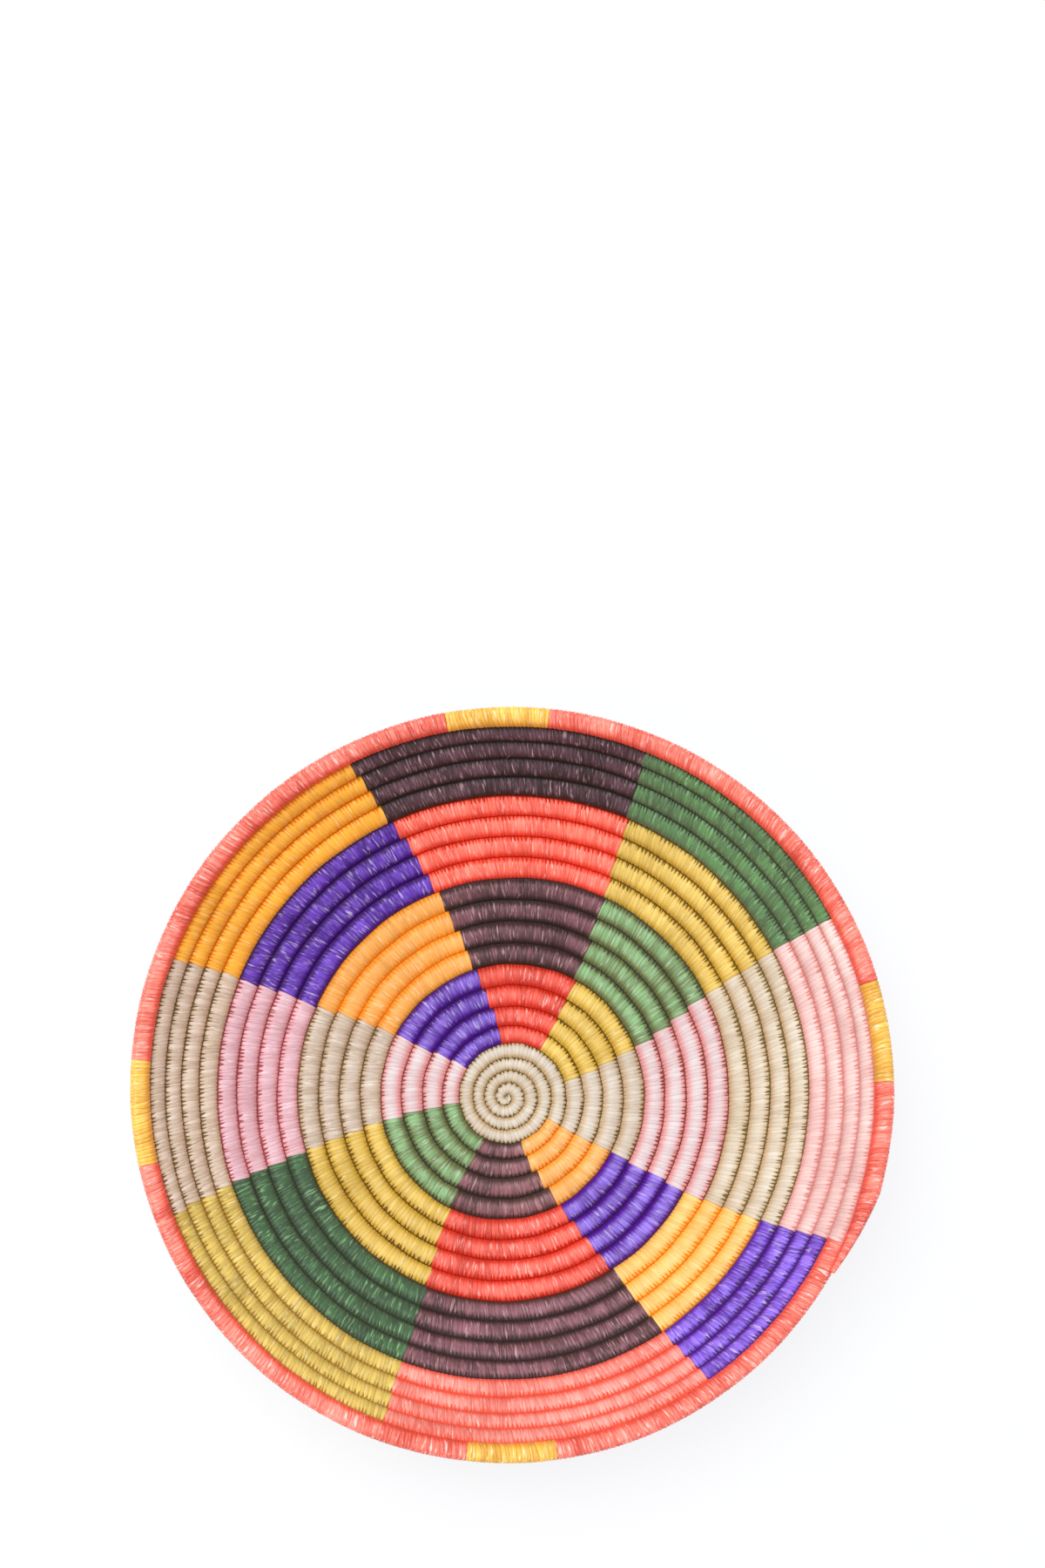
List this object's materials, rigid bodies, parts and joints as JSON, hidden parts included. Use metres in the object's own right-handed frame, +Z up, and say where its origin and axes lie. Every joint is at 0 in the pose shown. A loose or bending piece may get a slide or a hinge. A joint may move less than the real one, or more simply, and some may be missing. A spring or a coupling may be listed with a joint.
{
  "type": "coiled basket",
  "caption": "Shallow round bowl basket of coiled grass wrapped in dyed sisal, with rings of colour blocks and a coral and yellow rim.",
  "frame": {"origin": "on the surface that the basket stands on, under the middle of its outline", "axes": "+Z up through the open mouth; the coil starts its coloured rows near +X and winds clockwise seen from above"},
  "size_m": [0.3004, 0.2998, 0.0679],
  "materials": {
    "grass": "matte",
    "sisal_natural": "matte",
    "sisal_orange": "matte",
    "sisal_purple": "matte",
    "sisal_aubergine": "matte",
    "sisal_red": "matte",
    "sisal_coral": "matte",
    "sisal_light_green": "matte",
    "sisal_dark_green": "matte",
    "sisal_mustard": "matte",
    "sisal_olive": "matte",
    "sisal_pink": "matte",
    "sisal_mauve": "matte",
    "sisal_salmon": "matte",
    "sisal_taupe": "matte",
    "sisal_sand": "matte",
    "sisal_yellow": "matte"
  },
  "bodies": {
    "root": {"foundation_coil": "grass", "centre_wrap": "sisal_natural", "ring_1_orange_wrap": "sisal_orange", "ring_1_aubergine_wrap": "sisal_aubergine", "ring_1_light_green_wrap": "sisal_light_green", "ring_1_pink_wrap": "sisal_pink", "ring_1_purple_wrap": "sisal_purple", "ring_1_red_wrap": "sisal_red", "ring_1_mustard_wrap": "sisal_mustard", "ring_1_sand_wrap": "sisal_sand", "ring_2_purple_wrap": "sisal_purple", "ring_2_red_wrap": "sisal_red", "ring_2_mustard_wrap": "sisal_mustard", "ring_2_taupe_wrap": "sisal_taupe", "ring_2_orange_wrap": "sisal_orange", "ring_2_aubergine_wrap": "sisal_aubergine", "ring_2_light_green_wrap": "sisal_light_green", "ring_2_pink_wrap": "sisal_pink", "ring_3_orange_wrap": "sisal_orange", "ring_3_aubergine_wrap": "sisal_aubergine", "ring_3_dark_green_wrap": "sisal_dark_green", "ring_3_mauve_wrap": "sisal_mauve", "ring_3_purple_wrap": "sisal_purple", "ring_3_red_wrap": "sisal_red", "ring_3_mustard_wrap": "sisal_mustard", "ring_3_sand_wrap": "sisal_sand", "ring_4_purple_wrap": "sisal_purple", "ring_4_coral_wrap": "sisal_coral", "ring_4_olive_wrap": "sisal_olive", "ring_4_taupe_wrap": "sisal_taupe", "ring_4_orange_wrap": "sisal_orange", "ring_4_aubergine_wrap": "sisal_aubergine", "ring_4_dark_green_wrap": "sisal_dark_green", "ring_4_salmon_wrap": "sisal_salmon", "rim_coral_wrap_1": "sisal_coral", "rim_yellow_wrap_1": "sisal_yellow", "rim_coral_wrap_2": "sisal_coral", "rim_yellow_wrap_2": "sisal_yellow", "rim_coral_wrap_3": "sisal_coral", "rim_yellow_wrap_3": "sisal_yellow", "rim_coral_wrap_4": "sisal_coral", "rim_yellow_wrap_4": "sisal_yellow", "rim_tail_wrap": "sisal_coral"}
  },
  "joints": []
}
